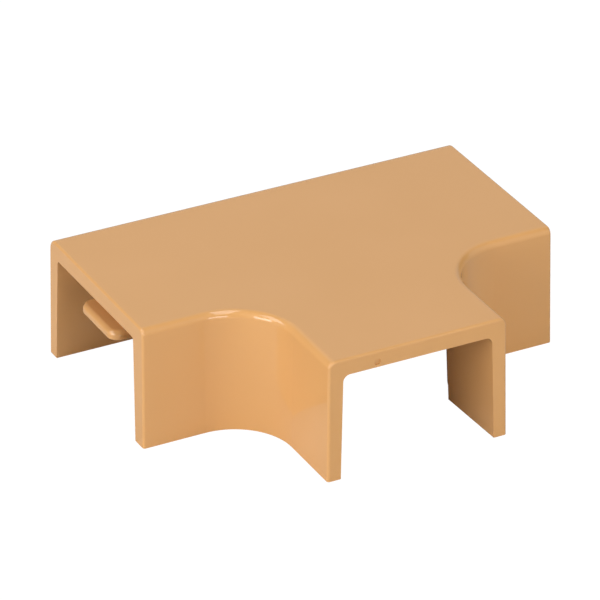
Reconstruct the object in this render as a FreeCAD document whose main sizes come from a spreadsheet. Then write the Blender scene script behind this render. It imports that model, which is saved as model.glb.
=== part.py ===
"""Flat tee fitting for 25 x 16 mm mini trunking: one injection-moulded cover.

A T-shaped top plate carries one long back wall and two short front walls. Each front wall
turns through a concave elbow into a wall of the branch. Three mouths and the underside are
open, and a retaining tongue hangs under the plate inside each mouth of the run.

Frame: +X along the run, -Y out of the branch, +Z from the wall to the visible plate. The
origin is the centre of the bounding box at the mounting plane. Sizes are in millimetres, and
plan sizes are taken at the open bottom, where the draft makes the cover widest.
"""

import FreeCAD, Part
import math
import os
from enum import IntEnum

import Sketcher

NODE = "tee_cover"

SIZES = {
    "run_length": 68.0,         # mouth to mouth along the run
    "run_width": 32.2,          # over the two walls of the run
    "branch_width": 29.4,       # over the two walls of the branch
    "overall_depth": 52.7,      # back wall to branch mouth
    "overall_height": 19.4,     # mounting plane to top face
    "plate_thickness": 2.6,
    "back_wall": 2.4,           # walls are measured at the open bottom
    "front_wall": 2.7,
    "branch_wall": 2.15,        # at the mouth
    "grip_wall": 2.65,          # where the branch's wall is thickest, next to the elbow
    "elbow_wall": 1.35,         # where the elbow meets the step behind the thick wall
    "elbow_radius": 9.3,        # concave, outside, between run and branch
    "inner_elbow_radius": 10.5,  # the same turn inside the channel
    "outer_draft": 0.9,         # degrees: outer faces lean in towards the plate
    "inner_draft": 2.4,         # degrees: the run's channel narrows towards the plate
    "branch_draft": 1.6,        # degrees: the same in the branch
    "top_edge_radius": 1.1,     # plate to front and branch walls
    "back_edge_radius": 1.6,    # plate to back wall
    "inner_edge_radius": 0.5,   # plate to inner faces of the run and elbows
    "branch_edge_radius": 1.1,  # plate to inner faces of the branch
    "mouth_edge_radius": 0.4,   # round the outside of each mouth
    "tongue_width": 11.4,
    "tongue_thickness": 1.5,
    "tongue_length": 6.5,
    "tongue_gap": 3.0,          # slot between tongue and plate
    "tongue_setback": 0.2,      # free edge behind the foot of the mouth
    "tongue_corner_radius": 1.9,
    "tongue_upper_radius": 0.8,
    "tongue_lower_radius": 0.3,
    "web_thickness": 1.6,       # joins the tongue to the plate
    "web_overlap": 0.5,         # web's root inside the plate
    "channel_overrun": 4.0,     # channel profile past each mouth
    "scar_radius": 0.5,         # pit left in the branch mouth where the gate broke off
    "scar_depth": 0.2,
    "scar_offset": 6.6,         # from the branch's centre line
    "scar_rise": 0.85,          # above the plate's underside
}

TOLERANCE = 1e-4


class At(IntEnum):
    """Which point of a sketch's line or arc is meant."""

    BEGIN = 1
    END = 2
    CENTRE = 3


class Datum(IntEnum):
    """What a sketch holds before anything is drawn."""

    ORIGIN = -1
    VERTICAL_AXIS = -2


# Places used by more than one feature, as expressions on the sheet.
UNDERSIDE = "sizes.overall_height - sizes.plate_thickness"
RUN_CENTRE = "sizes.overall_depth / 2 - sizes.run_width / 2"
STEP = ("sizes.overall_depth / 2 - sizes.run_width + sizes.front_wall"
        " - sizes.inner_elbow_radius")
GRIP_LENGTH = STEP + " + sizes.overall_depth / 2"
TONGUE_FOOT = UNDERSIDE + " - sizes.tongue_gap - sizes.tongue_thickness"
TONGUE_FREE = "sizes.run_length / 2 - sizes.tongue_setback"
TONGUE_ROOT = TONGUE_FREE + " - sizes.tongue_length"


def make_sheet(doc):
    """Spreadsheet with one named cell for each driving dimension."""
    sheet = doc.addObject("Spreadsheet::Sheet", "sizes")
    for row, (name, size) in enumerate(SIZES.items(), start=1):
        sheet.set(f"A{row}", name)
        sheet.set(f"B{row}", str(size))
        sheet.setAlias(f"B{row}", name)
    doc.recompute()


def value(owner, expression):
    """What an expression on the sheet comes to now."""
    return float(owner.evalExpression(expression))


def origin_plane(body, role):
    """One of the body's own origin planes."""
    for feature in body.Origin.OriginFeatures:
        if feature.Role == role:
            return feature
    raise ValueError(role)


def new_sketch(body, name, role="XY_Plane", lift=None):
    """Sketch on an origin plane of the body, moved along its normal by an expression."""
    sketch = body.newObject("Sketcher::SketchObject", name)
    sketch.AttachmentSupport = [(origin_plane(body, role), "")]
    sketch.MapMode = "FlatFace"
    if lift is not None:
        sketch.setExpression(".AttachmentOffset.Base.z", lift)
    return sketch


def bind(sketch, name, constraint, expression):
    """Adds a named dimension to the sketch and ties it to an expression."""
    index = sketch.addConstraint(constraint)
    sketch.renameConstraint(index, name)
    sketch.setExpression(f"Constraints.{name}", expression)


def place_from_origin(sketch, name, direction, shape, at, expression):
    """Dimension from the origin to a point of a line or arc, along +X or +Y."""
    size = value(sketch, expression)
    bind(sketch, name, Sketcher.Constraint(
        direction, Datum.ORIGIN, At.BEGIN, shape, at, size), expression)


def point(x, y):
    return FreeCAD.Vector(x, y, 0)


def add_line(sketch, start, end):
    return sketch.addGeometry(Part.LineSegment(start, end))


def add_arc(sketch, centre, radius, start_degrees, end_degrees):
    circle = Part.Circle(centre, FreeCAD.Vector(0, 0, 1), radius)
    start, end = math.radians(start_degrees), math.radians(end_degrees)
    return sketch.addGeometry(Part.ArcOfCircle(circle, start, end))


def constrain(sketch, *parts):
    sketch.addConstraint(Sketcher.Constraint(*parts))


def outer_outline(sketch):
    """Closed T outline of the cover, symmetric about the Y axis."""
    radius = value(sketch, "sizes.elbow_radius")
    half = value(sketch, "sizes.run_length / 2")
    arm = value(sketch, "sizes.branch_width / 2")
    rear = value(sketch, "sizes.overall_depth / 2")
    front = value(sketch, "sizes.overall_depth / 2 - sizes.run_width")
    turn = front - radius
    bend = arm + radius

    left_end = add_line(sketch, point(-half, rear), point(-half, front))
    left_front = add_line(sketch, point(-half, front), point(-bend, front))
    left_elbow = add_arc(sketch, point(-bend, turn), radius, 0, 90)
    left_side = add_line(sketch, point(-arm, turn), point(-arm, -rear))
    branch_end = add_line(sketch, point(-arm, -rear), point(arm, -rear))
    right_side = add_line(sketch, point(arm, -rear), point(arm, turn))
    right_elbow = add_arc(sketch, point(bend, turn), radius, 90, 180)
    right_front = add_line(sketch, point(bend, front), point(half, front))
    right_end = add_line(sketch, point(half, front), point(half, rear))
    rear_line = add_line(sketch, point(half, rear), point(-half, rear))

    for first, second in (
        (left_end, left_front), (left_side, branch_end), (branch_end, right_side),
        (right_front, right_end), (right_end, rear_line), (rear_line, left_end),
    ):
        constrain(sketch, "Coincident", first, At.END, second, At.BEGIN)
    for straight, straight_point, curve, curve_point in (
        (left_front, At.END, left_elbow, At.END),
        (left_side, At.BEGIN, left_elbow, At.BEGIN),
        (right_side, At.END, right_elbow, At.END),
        (right_front, At.BEGIN, right_elbow, At.BEGIN),
    ):
        constrain(sketch, "Tangent", straight, straight_point, curve, curve_point)
    for straight in (left_front, right_front):
        constrain(sketch, "Horizontal", straight)
    for straight in (left_end, left_side, right_side, right_end):
        constrain(sketch, "Vertical", straight)
    for across in (rear_line, branch_end):
        constrain(sketch, "Symmetric", across, At.BEGIN, across, At.END, Datum.VERTICAL_AXIS)
    constrain(sketch, "Horizontal", left_front, At.BEGIN, right_front, At.END)
    constrain(sketch, "Equal", left_elbow, right_elbow)

    place_from_origin(sketch, "back", "DistanceY", rear_line, At.BEGIN,
                      "sizes.overall_depth / 2")
    bind(sketch, "length", Sketcher.Constraint(
        "DistanceX", rear_line, At.END, rear_line, At.BEGIN, 2 * half), "sizes.run_length")
    bind(sketch, "width", Sketcher.Constraint(
        "DistanceY", right_end, At.BEGIN, right_end, At.END, rear - front), "sizes.run_width")
    bind(sketch, "branch", Sketcher.Constraint(
        "DistanceX", branch_end, At.BEGIN, branch_end, At.END, 2 * arm), "sizes.branch_width")
    bind(sketch, "depth", Sketcher.Constraint(
        "DistanceY", branch_end, At.END, rear_line, At.BEGIN, 2 * rear),
        "sizes.overall_depth")
    bind(sketch, "elbow", Sketcher.Constraint("Radius", right_elbow, radius),
         "sizes.elbow_radius")


def channel_outline(sketch):
    """Closed T outline of the channel, past its three mouths.

    The branch's walls thicken from the mouth to a step, behind which the thinner elbows start.
    """
    length = "sizes.run_length + 2 * sizes.channel_overrun"
    width = "sizes.run_width - sizes.back_wall - sizes.front_wall"
    depth = "sizes.overall_depth - sizes.back_wall + sizes.channel_overrun"
    back = "sizes.overall_depth / 2 - sizes.back_wall"
    centre = "sizes.branch_width / 2 - sizes.elbow_wall + sizes.inner_elbow_radius"
    grips = "sizes.branch_width - 2 * sizes.grip_wall"
    taper = f"2 * (sizes.grip_wall - sizes.branch_wall) / ({GRIP_LENGTH})"
    arms = (f"sizes.branch_width - 2 * sizes.branch_wall"
            f" + ({taper}) * sizes.channel_overrun")

    radius = value(sketch, "sizes.inner_elbow_radius")
    half = value(sketch, length) / 2
    rear = value(sketch, back)
    front = rear - value(sketch, width)
    mouth = rear - value(sketch, depth)
    bend = value(sketch, centre)
    grip = value(sketch, grips) / 2
    arm = value(sketch, arms) / 2
    turn = front - radius
    wall = bend - radius

    left_end = add_line(sketch, point(-half, rear), point(-half, front))
    left_front = add_line(sketch, point(-half, front), point(-bend, front))
    left_elbow = add_arc(sketch, point(-bend, turn), radius, 0, 90)
    left_step = add_line(sketch, point(-wall, turn), point(-grip, turn))
    left_grip = add_line(sketch, point(-grip, turn), point(-arm, mouth))
    branch_end = add_line(sketch, point(-arm, mouth), point(arm, mouth))
    right_grip = add_line(sketch, point(arm, mouth), point(grip, turn))
    right_step = add_line(sketch, point(grip, turn), point(wall, turn))
    right_elbow = add_arc(sketch, point(bend, turn), radius, 90, 180)
    right_front = add_line(sketch, point(bend, front), point(half, front))
    right_end = add_line(sketch, point(half, front), point(half, rear))
    rear_line = add_line(sketch, point(half, rear), point(-half, rear))

    for first, second in (
        (left_end, left_front), (left_step, left_grip), (left_grip, branch_end),
        (branch_end, right_grip), (right_grip, right_step), (right_front, right_end),
        (right_end, rear_line), (rear_line, left_end),
    ):
        constrain(sketch, "Coincident", first, At.END, second, At.BEGIN)
    constrain(sketch, "Coincident", left_elbow, At.BEGIN, left_step, At.BEGIN)
    constrain(sketch, "Coincident", right_step, At.END, right_elbow, At.END)
    constrain(sketch, "Tangent", left_front, At.END, left_elbow, At.END)
    constrain(sketch, "Tangent", right_front, At.BEGIN, right_elbow, At.BEGIN)
    for straight in (left_front, right_front, left_step, right_step):
        constrain(sketch, "Horizontal", straight)
    for straight in (left_end, right_end):
        constrain(sketch, "Vertical", straight)
    for first, first_point, second, second_point in (
        (rear_line, At.BEGIN, rear_line, At.END), (branch_end, At.BEGIN, branch_end, At.END),
        (left_step, At.END, right_step, At.BEGIN),
        (left_elbow, At.CENTRE, right_elbow, At.CENTRE),
    ):
        constrain(sketch, "Symmetric", first, first_point, second, second_point,
                  Datum.VERTICAL_AXIS)
    constrain(sketch, "Equal", left_elbow, right_elbow)
    constrain(sketch, "Horizontal", right_elbow, At.CENTRE, right_elbow, At.END)

    place_from_origin(sketch, "back", "DistanceY", rear_line, At.BEGIN, back)
    place_from_origin(sketch, "centre", "DistanceX", right_elbow, At.CENTRE, centre)
    bind(sketch, "length", Sketcher.Constraint(
        "DistanceX", rear_line, At.END, rear_line, At.BEGIN, 2 * half), length)
    bind(sketch, "width", Sketcher.Constraint(
        "DistanceY", right_end, At.BEGIN, right_end, At.END, rear - front), width)
    bind(sketch, "depth", Sketcher.Constraint(
        "DistanceY", branch_end, At.END, rear_line, At.BEGIN, rear - mouth), depth)
    bind(sketch, "grips", Sketcher.Constraint(
        "DistanceX", left_step, At.END, right_step, At.BEGIN, 2 * grip), grips)
    bind(sketch, "arms", Sketcher.Constraint(
        "DistanceX", branch_end, At.BEGIN, branch_end, At.END, 2 * arm), arms)
    bind(sketch, "elbow", Sketcher.Constraint("Radius", right_elbow, radius),
         "sizes.inner_elbow_radius")


def make_block(body):
    """Solid T, full height."""
    sketch = new_sketch(body, "outer_outline")
    outer_outline(sketch)
    block = body.newObject("PartDesign::Pad", "block")
    block.Profile = sketch
    block.setExpression("Length", "sizes.overall_height")
    body.Document.recompute()
    return block


def make_channel(body):
    """T-shaped channel cut from below, through all three mouths."""
    sketch = new_sketch(body, "channel_outline")
    channel_outline(sketch)
    channel = body.newObject("PartDesign::Pocket", "channel")
    channel.Profile = sketch
    channel.Reversed = True
    channel.setExpression("Length", UNDERSIDE)
    body.Document.recompute()
    return channel


def is_upright(face):
    """True where the face's normal is level at its middle."""
    first_u, last_u, first_v, last_v = face.ParameterRange
    normal = face.normalAt((first_u + last_u) / 2, (first_v + last_v) / 2)
    return abs(normal.z) < TOLERANCE


def make_lean(body, name, base, test, angle, inwards=False):
    """Draft, hinged at the mounting plane, on the upright faces whose box passes the test."""
    chosen = []
    for number, face in enumerate(base.Shape.Faces, start=1):
        if is_upright(face) and test(face.BoundBox):
            chosen.append(f"Face{number}")
    lean = body.newObject("PartDesign::Draft", name)
    lean.Base = (base, chosen)
    lean.NeutralPlane = (origin_plane(body, "XY_Plane"), [""])
    lean.Reversed = inwards
    lean.setExpression("Angle", angle)
    body.Document.recompute()
    return lean


def make_leans(body, base):
    """Outer faces reach the top face; the branch's inner faces end at the step."""
    height = value(base, "sizes.overall_height") - TOLERANCE
    step = value(base, STEP) + TOLERANCE
    outer = make_lean(body, "outer_lean", base, lambda box: box.ZMax > height,
                      "sizes.outer_draft")
    run = make_lean(body, "run_lean", outer,
                    lambda box: box.ZMax < height and box.YMax > step,
                    "sizes.inner_draft", inwards=True)
    return make_lean(body, "branch_lean", run,
                     lambda box: box.ZMax < height and box.YMax < step,
                     "sizes.branch_draft", inwards=True)


def middle(edge):
    return edge.valueAt((edge.FirstParameter + edge.LastParameter) / 2)


def make_fillet(body, name, base, radius, test):
    """Fillet on every edge of the base feature whose middle passes the test."""
    chosen = []
    for number, edge in enumerate(base.Shape.Edges, start=1):
        if test(middle(edge)):
            chosen.append(f"Edge{number}")
    if not chosen:
        raise ValueError("no edge for " + name)
    fillet = body.newObject("PartDesign::Fillet", name)
    fillet.Base = (base, chosen)
    fillet.setExpression("Radius", radius)
    body.Document.recompute()
    return fillet


class Outline:
    """Where the walls, mouths and tongues lie, for picking edges by their middles."""

    def __init__(self, owner):
        self.height = value(owner, "sizes.overall_height")
        self.underside = value(owner, UNDERSIDE)
        self.half_length = value(owner, "sizes.run_length / 2")
        self.rear = value(owner, "sizes.overall_depth / 2")
        self.front = value(owner, "sizes.overall_depth / 2 - sizes.run_width")
        self.half_branch = value(owner, "sizes.branch_width / 2")
        self.back_wall = value(owner, "sizes.back_wall")
        self.front_wall = value(owner, "sizes.front_wall")
        self.branch_wall = value(owner, "sizes.branch_wall")
        self.step = value(owner, f"{STEP} + ({UNDERSIDE}) * tan(sizes.branch_draft)")
        self.lean = value(owner, "sizes.overall_height * tan(sizes.outer_draft)")
        self.tongue_foot = value(owner, TONGUE_FOOT)
        self.tongue_top = value(owner, TONGUE_FOOT + " + sizes.tongue_thickness")
        self.half_tongue = value(owner, "sizes.tongue_width / 2")
        self.web_face = value(owner, TONGUE_ROOT + " + sizes.web_thickness")

    def in_run_mouth(self, place):
        return abs(place.x) > self.half_length - self.lean - TOLERANCE

    def in_branch_mouth(self, place):
        return place.y < -self.rear + self.lean + TOLERANCE

    def in_mouth(self, place):
        return self.in_run_mouth(place) or self.in_branch_mouth(place)

    def on_top(self, place):
        return abs(place.z - self.height) < TOLERANCE and not self.in_mouth(place)

    def on_back_edge(self, place):
        return self.on_top(place) and place.y > self.rear - self.back_wall

    def on_top_edge(self, place):
        return self.on_top(place) and not self.on_back_edge(place)

    def on_underside(self, place):
        return abs(place.z - self.underside) < TOLERANCE and not self.in_mouth(place)

    def on_run_edge(self, place):
        return self.on_underside(place) and place.y > self.step + TOLERANCE

    def on_branch_edge(self, place):
        return self.on_underside(place) and place.y < self.step - TOLERANCE

    def round_a_mouth(self, place):
        """Outside of a mouth's end face: its uprights, top corners and top edge."""
        if place.z < TOLERANCE:
            return False
        above = place.z > (self.height + self.underside) / 2
        if self.in_run_mouth(place):
            behind = place.y > self.rear - self.back_wall / 2
            return above or behind or place.y < self.front + self.front_wall / 2
        if self.in_branch_mouth(place):
            return above or abs(place.x) > self.half_branch - self.branch_wall / 2
        return False

    def on_tongue(self, place, level):
        """On one level of a tongue, from its free edge back to the web."""
        aside = abs(place.y - (self.rear + self.front) / 2)
        return (abs(place.z - level) < TOLERANCE and aside < self.half_tongue + TOLERANCE
                and abs(place.x) > self.web_face + TOLERANCE)

    def on_tongue_top(self, place):
        return self.on_tongue(place, self.tongue_top)

    def on_tongue_foot(self, place):
        return self.on_tongue(place, self.tongue_foot)


def tongue_outline(sketch):
    """Tongue in plan: free edge at the left mouth, with two rounded corners."""
    free = -value(sketch, TONGUE_FREE)
    root = -value(sketch, TONGUE_ROOT)
    radius = value(sketch, "sizes.tongue_corner_radius")
    half = value(sketch, "sizes.tongue_width / 2")
    high = value(sketch, RUN_CENTRE) + half
    low = value(sketch, RUN_CENTRE) - half

    free_edge = add_line(sketch, point(free, high - radius), point(free, low + radius))
    low_corner = add_arc(sketch, point(free + radius, low + radius), radius, 180, 270)
    low_side = add_line(sketch, point(free + radius, low), point(root, low))
    root_edge = add_line(sketch, point(root, low), point(root, high))
    high_side = add_line(sketch, point(root, high), point(free + radius, high))
    high_corner = add_arc(sketch, point(free + radius, high - radius), radius, 90, 180)

    for first, second in (
        (free_edge, low_corner), (low_corner, low_side),
        (high_side, high_corner), (high_corner, free_edge),
    ):
        constrain(sketch, "Tangent", first, At.END, second, At.BEGIN)
    for first, second in ((low_side, root_edge), (root_edge, high_side)):
        constrain(sketch, "Coincident", first, At.END, second, At.BEGIN)
    for upright in (free_edge, root_edge):
        constrain(sketch, "Vertical", upright)
    for level in (low_side, high_side):
        constrain(sketch, "Horizontal", level)
    constrain(sketch, "Equal", low_corner, high_corner)

    bind(sketch, "corner", Sketcher.Constraint("Radius", low_corner, radius),
         "sizes.tongue_corner_radius")
    bind(sketch, "width", Sketcher.Constraint(
        "DistanceY", root_edge, At.BEGIN, root_edge, At.END, high - low), "sizes.tongue_width")
    place_from_origin(sketch, "high", "DistanceY", root_edge, At.END,
                      RUN_CENTRE + " + sizes.tongue_width / 2")
    place_from_origin(sketch, "root", "DistanceX", root_edge, At.BEGIN, f"-({TONGUE_ROOT})")
    place_from_origin(sketch, "free", "DistanceX", free_edge, At.BEGIN, f"-({TONGUE_FREE})")


def web_outline(sketch):
    """Web in plan: a bar across the tongue's root."""
    root = -value(sketch, TONGUE_ROOT)
    face = root - value(sketch, "sizes.web_thickness")
    half = value(sketch, "sizes.tongue_width / 2")
    high = value(sketch, RUN_CENTRE) + half
    low = value(sketch, RUN_CENTRE) - half

    outer = add_line(sketch, point(face, high), point(face, low))
    low_side = add_line(sketch, point(face, low), point(root, low))
    inner = add_line(sketch, point(root, low), point(root, high))
    high_side = add_line(sketch, point(root, high), point(face, high))

    for first, second in (
        (outer, low_side), (low_side, inner), (inner, high_side), (high_side, outer),
    ):
        constrain(sketch, "Coincident", first, At.END, second, At.BEGIN)
    for upright in (outer, inner):
        constrain(sketch, "Vertical", upright)
    for level in (low_side, high_side):
        constrain(sketch, "Horizontal", level)

    bind(sketch, "thickness", Sketcher.Constraint(
        "DistanceX", low_side, At.BEGIN, low_side, At.END, root - face), "sizes.web_thickness")
    bind(sketch, "width", Sketcher.Constraint(
        "DistanceY", inner, At.BEGIN, inner, At.END, high - low), "sizes.tongue_width")
    place_from_origin(sketch, "high", "DistanceY", inner, At.END,
                      RUN_CENTRE + " + sizes.tongue_width / 2")
    place_from_origin(sketch, "root", "DistanceX", inner, At.BEGIN, f"-({TONGUE_ROOT})")


def make_tongues(body):
    """A tongue and its web in the left mouth, mirrored to the right mouth."""
    tongue_sketch = new_sketch(body, "tongue_outline", lift=TONGUE_FOOT)
    tongue_outline(tongue_sketch)
    tongue = body.newObject("PartDesign::Pad", "tongue")
    tongue.Profile = tongue_sketch
    tongue.setExpression("Length", "sizes.tongue_thickness")

    web_sketch = new_sketch(body, "web_outline", lift=TONGUE_FOOT)
    web_outline(web_sketch)
    web = body.newObject("PartDesign::Pad", "web")
    web.Profile = web_sketch
    web.setExpression(
        "Length", "sizes.tongue_thickness + sizes.tongue_gap + sizes.web_overlap")

    pair = body.newObject("PartDesign::Mirrored", "tongue_pair")
    pair.Originals = [tongue, web]
    pair.MirrorPlane = (origin_plane(body, "YZ_Plane"), [""])
    body.Tip = pair
    body.Document.recompute()
    return pair


def make_gate_scar(body):
    """Shallow round pit in the branch mouth's end face, above the plate's underside."""
    sketch = new_sketch(body, "scar_outline", role="XZ_Plane", lift="sizes.overall_depth / 2")
    across = value(sketch, "sizes.scar_offset")
    rise = UNDERSIDE + " + sizes.scar_rise"
    radius = value(sketch, "sizes.scar_radius")
    middle_point = point(-across, value(sketch, rise))
    ring = sketch.addGeometry(Part.Circle(middle_point, FreeCAD.Vector(0, 0, 1), radius))
    bind(sketch, "radius", Sketcher.Constraint("Radius", ring, radius), "sizes.scar_radius")
    place_from_origin(sketch, "across", "DistanceX", ring, At.CENTRE, "-sizes.scar_offset")
    place_from_origin(sketch, "rise", "DistanceY", ring, At.CENTRE, rise)
    scar = body.newObject("PartDesign::Pocket", "gate_scar")
    scar.Profile = sketch
    # The end face leans back from the sketch's plane by the draft at the pit's height.
    scar.setExpression("Length", f"sizes.scar_depth + ({rise}) * tan(sizes.outer_draft)")
    body.Document.recompute()
    return scar


def check(doc, body):
    """Stops before anything is written if a feature failed or the solid isn't sound."""
    for feature in doc.Objects:
        if "Invalid" in feature.State or "Error" in feature.State:
            raise RuntimeError(f"{feature.Name}: {feature.State}")
    if body.Shape.isNull() or not body.Shape.isValid():
        raise RuntimeError("the solid isn't valid")
    if len(body.Shape.Solids) != 1:
        raise RuntimeError("the cover isn't one solid")


def make_part():
    doc = FreeCAD.newDocument("trunking_tee")
    make_sheet(doc)
    body = doc.addObject("PartDesign::Body", NODE)
    body.Label = NODE
    doc.recompute()

    make_block(body)
    hollowed = make_leans(body, make_channel(body))
    outline = Outline(hollowed)
    for name, radius, test in (
        ("top_edge", "sizes.top_edge_radius", outline.on_top_edge),
        ("back_edge", "sizes.back_edge_radius", outline.on_back_edge),
        ("branch_edge", "sizes.branch_edge_radius", outline.on_branch_edge),
        ("run_edge", "sizes.inner_edge_radius", outline.on_run_edge),
        ("mouth_edge", "sizes.mouth_edge_radius", outline.round_a_mouth),
    ):
        hollowed = make_fillet(body, name, hollowed, radius, test)
    tongues = make_tongues(body)
    tongues = make_fillet(
        body, "tongue_top", tongues, "sizes.tongue_upper_radius", outline.on_tongue_top)
    make_fillet(
        body, "tongue_foot", tongues, "sizes.tongue_lower_radius", outline.on_tongue_foot)
    make_gate_scar(body)

    check(doc, body)
    os.makedirs("parts", exist_ok=True)
    body.Shape.exportStep(f"parts/{NODE}.step")


make_part()
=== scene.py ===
"""Trunking tee cover, moulded in semi-gloss PVC, on an opal table between soft boxes.

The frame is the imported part's own: metres, +X along the run, -Y out of the branch, +Z up from
the mounting plane to the visible plate.
"""

import logging
import math
from dataclasses import dataclass, field
from enum import Enum
from typing import Any, Optional

import bmesh
import bpy
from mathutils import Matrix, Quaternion, Vector

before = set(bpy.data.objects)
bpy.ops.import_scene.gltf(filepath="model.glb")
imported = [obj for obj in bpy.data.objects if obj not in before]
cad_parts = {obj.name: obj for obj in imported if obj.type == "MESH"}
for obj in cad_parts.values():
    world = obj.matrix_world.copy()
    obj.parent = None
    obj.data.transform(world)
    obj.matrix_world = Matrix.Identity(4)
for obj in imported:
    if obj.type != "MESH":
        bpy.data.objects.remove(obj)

LOG = logging.getLogger("trunking_tee")
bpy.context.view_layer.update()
MM = 0.001
WHITE = "FFFFFF"


class Axis(Enum):
    """Direction that a set of marks runs in, as the noise's scale along X, Y and Z."""

    ALONG_RUN = (0.12, 1.0, 1.0)
    DOWN_WALLS = (1.0, 1.0, 0.04)


class Marks(Enum):
    """Kinds of mark, as the noise's octaves and the weight that each finer octave keeps."""

    WAVES = (1.5, 0.4)
    GRAIN = (2.0, 0.5)
    STREAKS = (3.0, 0.6)

    @property
    def sockets(self) -> dict[str, float]:
        """Values for the noise node's sockets."""
        octaves, weight = self.value
        return {"Detail": octaves, "Roughness": weight}


def linear_colour(hex_code: str) -> tuple[float, float, float, float]:
    """Turns an sRGB hex value into linear light, by the curve of the sRGB standard.

    Args:
        hex_code: Six hex digits.

    Returns:
        Red, green and blue, linear, and an alpha of 1.
    """
    channels = [int(hex_code[i : i + 2], 16) / 255 for i in (0, 2, 4)]
    red, green, blue = (
        c / 12.92 if c <= 0.04045 else ((c + 0.055) / 1.055) ** 2.4 for c in channels
    )
    return red, green, blue, 1.0


def add_node(
    tree: bpy.types.NodeTree,
    kind: str,
    settings: Optional[dict[str, Any]] = None,
    inputs: Optional[dict[Any, Any]] = None,
) -> bpy.types.Node:
    """Adds one node to a tree, with its settings and its sockets' values or links.

    Args:
        tree: Node tree that gets the node.
        kind: Blender's name for the node's class.
        settings: Attributes of the node.
        inputs: Socket name or number to a value, or to another node's output.

    Returns:
        The new node.
    """
    node = tree.nodes.new(kind)
    for name, setting in (settings or {}).items():
        setattr(node, name, setting)
    for name, value in (inputs or {}).items():
        if isinstance(value, bpy.types.NodeSocket):
            tree.links.new(value, node.inputs[name])
        else:
            node.inputs[name].default_value = value
    return node


@dataclass(frozen=True)
class MouldedPvc:
    """Rigid PVC, injection moulded against a polished steel tool.

    The tool leaves a semi-gloss skin with faint draw marks down the walls. The melt's flow along
    the run leaves streaks that are a little duller. Behind the skin the plastic shrank, which
    leaves a slight waviness that bends long reflections.
    """

    name: str = "Rigid_PVC_injection_moulded_pine"
    base: str = "D6A063"
    pale: str = "DAA469"
    roughness: float = 0.08
    streak_haze: float = 0.04
    ior: float = 1.53
    shrink_wavelength_mm: float = 14.0
    shrink_depth_mm: float = 0.012
    # Real grain and draw marks are under 0.1 mm apart, and a pixel of the render spans 0.15 mm.
    # They are drawn as coarse as they need to show.
    skin_grain_mm: float = 0.45
    skin_depth_mm: float = 0.0015
    draw_mark_mm: float = 0.5
    draw_depth_mm: float = 0.0012
    flow_streak_mm: float = 2.6
    # Nearly all of a noise's values lie in this band.
    noise_band: tuple[float, float] = (0.3, 0.7)

    def streaks(
        self,
        tree: bpy.types.NodeTree,
        place: bpy.types.NodeSocket,
        axis: Axis,
        pitch_mm: float,
    ) -> bpy.types.NodeSocket:
        """Adds noise that is drawn out along one axis.

        Args:
            tree: Node tree of the material.
            place: Object coordinates.
            axis: Direction of the marks.
            pitch_mm: Spacing of the marks across that direction.

        Returns:
            The noise's value.
        """
        drawn_out = add_node(
            tree, "ShaderNodeMapping", {"vector_type": "POINT"},
            {"Vector": place, "Scale": axis.value},
        )
        noise = add_node(
            tree, "ShaderNodeTexNoise", {"noise_dimensions": "3D"},
            {"Vector": drawn_out.outputs["Vector"], "Scale": 1 / (pitch_mm * MM),
             **Marks.STREAKS.sockets},
        )
        return noise.outputs["Fac"]

    def build(self) -> bpy.types.Material:
        """Makes the node material.

        Returns:
            The finished material.
        """
        material = bpy.data.materials.new(self.name)
        material.use_nodes = True
        tree = material.node_tree
        tree.nodes.clear()
        place = add_node(tree, "ShaderNodeTexCoord").outputs["Object"]

        shrink = add_node(
            tree, "ShaderNodeTexNoise", {"noise_dimensions": "3D"},
            {"Vector": place, "Scale": 1 / (self.shrink_wavelength_mm * MM),
             **Marks.WAVES.sockets},
        )
        grain = add_node(
            tree, "ShaderNodeTexNoise", {"noise_dimensions": "3D"},
            {"Vector": place, "Scale": 1 / (self.skin_grain_mm * MM), **Marks.GRAIN.sockets},
        )
        bump_shrink = add_node(
            tree, "ShaderNodeBump", None,
            {"Strength": 1.0, "Distance": self.shrink_depth_mm * MM,
             "Height": shrink.outputs["Fac"]},
        )
        bump_draw = add_node(
            tree, "ShaderNodeBump", None,
            {"Strength": 1.0, "Distance": self.draw_depth_mm * MM,
             "Height": self.streaks(tree, place, Axis.DOWN_WALLS, self.draw_mark_mm),
             "Normal": bump_shrink.outputs["Normal"]},
        )
        bump_skin = add_node(
            tree, "ShaderNodeBump", None,
            {"Strength": 1.0, "Distance": self.skin_depth_mm * MM,
             "Height": grain.outputs["Fac"], "Normal": bump_draw.outputs["Normal"]},
        )
        # A colour mix takes its share on socket 0 and its two colours on sockets 6 and 7.
        tint = add_node(
            tree, "ShaderNodeMix", {"data_type": "RGBA"},
            {0: shrink.outputs["Fac"], 6: linear_colour(self.base), 7: linear_colour(self.pale)},
        )
        low, high = self.noise_band
        haze = add_node(
            tree, "ShaderNodeMapRange", None,
            {"Value": self.streaks(tree, place, Axis.ALONG_RUN, self.flow_streak_mm),
             "From Min": low, "From Max": high,
             "To Min": self.roughness - self.streak_haze / 2,
             "To Max": self.roughness + self.streak_haze / 2},
        )
        shader = add_node(
            tree, "ShaderNodeBsdfPrincipled", None,
            {"Base Color": tint.outputs[2], "Roughness": haze.outputs["Result"],
             "IOR": self.ior, "Normal": bump_skin.outputs["Normal"]},
        )
        add_node(tree, "ShaderNodeOutputMaterial", None, {"Surface": shader.outputs["BSDF"]})
        return material


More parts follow.
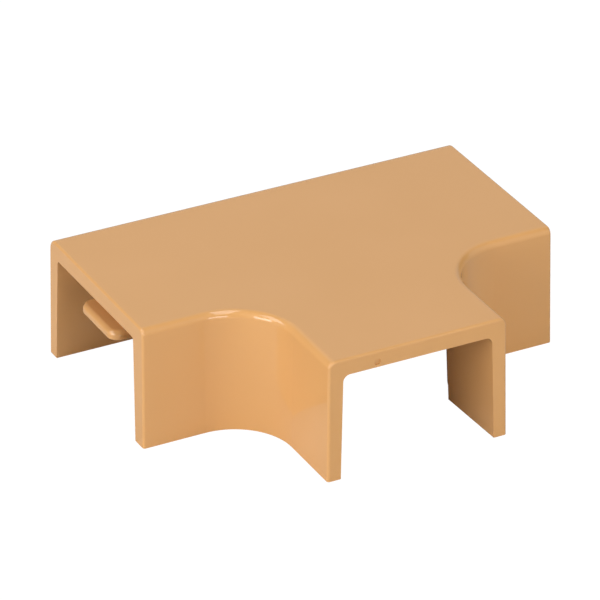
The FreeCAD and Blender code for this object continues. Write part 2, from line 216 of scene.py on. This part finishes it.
@dataclass(frozen=True)
class OpalTable:
    """Opal acrylic shooting table, cast and matt, lit from below.

    The light from below washes nearly all shadow out to the camera, while the part is lit by
    no more than the sheet's own soft bounce.
    """

    name: str = "Opal_acrylic_table_cast_matt"
    colour: str = "C8C8C8"
    roughness: float = 0.9
    sheen: float = 0.1
    glow: float = 1.06
    washed_out: float = 0.96

    def build(self) -> bpy.types.Material:
        """Makes the floor's material.

        Returns:
            The finished material.
        """
        material = bpy.data.materials.new(self.name)
        material.use_nodes = True
        tree = material.node_tree
        tree.nodes.clear()
        sheet = add_node(
            tree, "ShaderNodeBsdfPrincipled", None,
            {"Base Color": linear_colour(self.colour), "Roughness": self.roughness,
             "Specular IOR Level": self.sheen},
        )
        light = add_node(
            tree, "ShaderNodeEmission", None,
            {"Color": linear_colour(WHITE), "Strength": self.glow},
        )
        ray = add_node(tree, "ShaderNodeLightPath")
        share = add_node(
            tree, "ShaderNodeMath", {"operation": "MULTIPLY"},
            {0: ray.outputs["Is Camera Ray"], 1: self.washed_out},
        )
        blend = add_node(
            tree, "ShaderNodeMixShader", None,
            {0: share.outputs["Value"], 1: sheet.outputs["BSDF"],
             2: light.outputs["Emission"]},
        )
        add_node(tree, "ShaderNodeOutputMaterial", None, {"Surface": blend.outputs["Shader"]})
        return material


@dataclass
class TeeCover:
    """The one moulding: plate, walls, elbows, tongues and webs."""

    node: str = "tee_cover"
    finish: MouldedPvc = field(default_factory=MouldedPvc)

    def dress(self) -> bpy.types.Object:
        """Gives the carried-over solid its moulded surface.

        Returns:
            The dressed object.
        """
        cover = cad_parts[self.node]
        cover.data.materials.clear()
        cover.data.materials.append(self.finish.build())
        return cover


@dataclass(frozen=True)
class SoftBox:
    """Rectangular soft box that faces the part."""

    name: str
    place_m: tuple[float, float, float]
    front_m: tuple[float, float]
    power_w: float
    turn_deg: float = 0.0

    def hang(self) -> bpy.types.Object:
        """Hangs the box in the scene, turned about its own axis.

        Returns:
            The light.
        """
        lamp = bpy.data.lights.new(self.name, "AREA")
        lamp.shape = "RECTANGLE"
        lamp.size, lamp.size_y = self.front_m
        lamp.energy = self.power_w
        box = bpy.data.objects.new(self.name, lamp)
        box.location = self.place_m
        aim = (-Vector(self.place_m)).to_track_quat("-Z", "Y")
        spin = Quaternion((0.0, 0.0, 1.0), math.radians(self.turn_deg))
        box.rotation_euler = (aim @ spin).to_euler()
        bpy.context.scene.collection.objects.link(box)
        return box


@dataclass
class Studio:
    """Opal table, soft boxes with one as a backdrop, and the camera of the photograph.

    The camera comes from a fit to the photograph's edges, and the boxes' places and power from
    a fit to its tones and highlights.
    """

    floor_half_m: float = 4.0
    camera_azimuth_deg: float = -27.4023
    camera_elevation_deg: float = 29.1542
    camera_distance_m: float = 0.70635
    camera_aim_m: tuple[float, float, float] = (-0.00243, 0.00587, 0.0108)
    lens_mm: float = 286.26
    sensor_mm: float = 36.0
    clip_m: tuple[float, float] = (0.05, 20.0)
    room_light: float = 0.03
    table: OpalTable = field(default_factory=OpalTable)
    boxes: tuple[SoftBox, ...] = (
        SoftBox("overhead", (0.02, -0.24, 0.9), (0.32, 0.98), 3.45, turn_deg=-20.0),
        SoftBox("left_back", (-0.63, 0.19, 0.61), (0.36, 0.62), 2.5),
        SoftBox("left_sheet", (-1.1, -0.12, 0.45), (1.6, 1.6), 3.3),
        SoftBox("left_low", (-0.925, -0.225, 0.27), (0.5, 0.42), 4.5),
        SoftBox("front", (-0.04, -0.93, 0.2), (0.5, 0.36), 2.9),
        SoftBox("right_sheet", (1.0, -0.75, 0.6), (1.6, 1.2), 5.0),
        SoftBox("backdrop", (0.46, 0.943, 0.582), (1.6, 1.4), 4.5),
    )

    def lay_floor(self) -> bpy.types.Object:
        """Lays the table's sheet under the part.

        Returns:
            The floor.
        """
        mesh = bpy.data.meshes.new("studio_floor")
        sheet = bmesh.new()
        bmesh.ops.create_grid(sheet, x_segments=1, y_segments=1, size=self.floor_half_m)
        sheet.to_mesh(mesh)
        sheet.free()
        floor = bpy.data.objects.new("studio_floor", mesh)
        bpy.context.scene.collection.objects.link(floor)
        mesh.materials.append(self.table.build())
        return floor

    def light_world(self) -> None:
        """Fills the room with even white light."""
        world = bpy.data.worlds.new("studio_room")
        bpy.context.scene.world = world
        world.use_nodes = True
        tree = world.node_tree
        tree.nodes.clear()
        glow = add_node(
            tree, "ShaderNodeBackground", None,
            {"Color": linear_colour(WHITE), "Strength": self.room_light},
        )
        add_node(tree, "ShaderNodeOutputWorld", None, {"Surface": glow.outputs["Background"]})

    def place_camera(self) -> bpy.types.Object:
        """Puts the camera where the photograph was taken from.

        Returns:
            The camera.
        """
        turn = math.radians(self.camera_azimuth_deg)
        rise = math.radians(self.camera_elevation_deg)
        back = Vector((
            math.sin(turn) * math.cos(rise), -math.cos(turn) * math.cos(rise), math.sin(rise)
        ))
        data = bpy.data.cameras.new("camera")
        data.lens = self.lens_mm
        data.sensor_width = self.sensor_mm
        data.clip_start, data.clip_end = self.clip_m
        camera = bpy.data.objects.new("camera", data)
        camera.location = Vector(self.camera_aim_m) + back * self.camera_distance_m
        camera.rotation_euler = (-back).to_track_quat("-Z", "Y").to_euler()
        bpy.context.scene.collection.objects.link(camera)
        bpy.context.scene.camera = camera
        return camera

    def build(self) -> None:
        """Sets the whole studio up."""
        self.lay_floor()
        self.light_world()
        for box in self.boxes:
            box.hang()
        self.place_camera()
        bpy.context.scene.view_settings.view_transform = "Standard"


def main() -> None:
    """Dresses the cover and sets up the studio."""
    logging.basicConfig(level=logging.INFO, format="%(name)s: %(message)s")
    cover = TeeCover().dress()
    LOG.info("%s has %d faces", cover.name, len(cover.data.polygons))
    Studio().build()
    LOG.info("studio set, camera %s", bpy.context.scene.camera.name)


if __name__ == "__main__":
    main()
